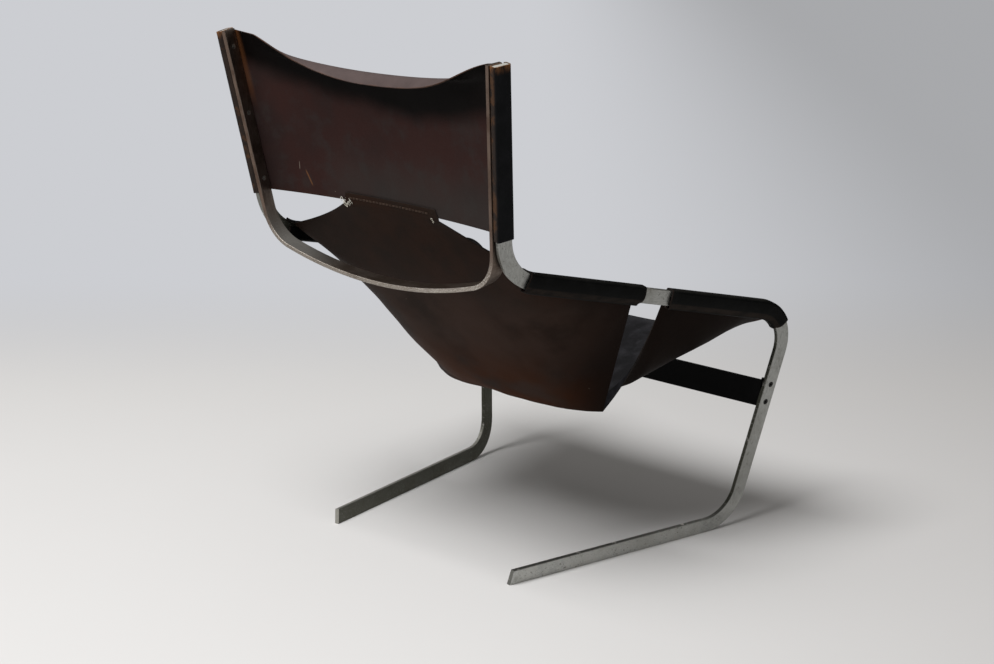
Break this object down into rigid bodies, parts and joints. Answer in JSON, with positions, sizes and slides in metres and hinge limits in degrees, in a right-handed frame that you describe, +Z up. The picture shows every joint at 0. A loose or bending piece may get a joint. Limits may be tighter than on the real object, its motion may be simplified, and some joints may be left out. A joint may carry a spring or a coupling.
{
  "type": "cantilever lounge chair",
  "caption": "Cantilever lounge chair: bent flat-bar steel side frames, a bent back hoop, a front crossbar, and a leather back and seat slung between the frames.",
  "frame": {"origin": "on the floor, at the centre of the bounding box", "axes": "+Z up; -Y is the way the sitter faces; +X is the sitter's left"},
  "size_m": [0.8012, 0.7458, 0.9526],
  "materials": {
    "frame_steel": "satin, with fine scratches along the bar",
    "crossbar_black": "black satin paint",
    "screw_steel": "darkened steel",
    "hide": "worn saddle leather, near black on the face and red brown on the back",
    "hide_turned": "near-black face side, worn orange brown along the edges"
  },
  "bodies": {
    "root": {"side_frame_left": "frame_steel", "side_frame_right": "frame_steel", "back_hoop": "frame_steel", "front_crossbar": "crossbar_black", "crossbar_screws": "screw_steel", "clamp_screws_left": "screw_steel", "clamp_screws_right": "screw_steel", "back_panel": "hide", "seat_sling": "hide", "upright_wrap_left": "hide_turned", "upright_wrap_right": "hide_turned", "rear_sleeve_left": "hide_turned", "rear_sleeve_right": "hide_turned", "front_sleeve_left": "hide_turned", "front_sleeve_right": "hide_turned"}
  },
  "joints": []
}
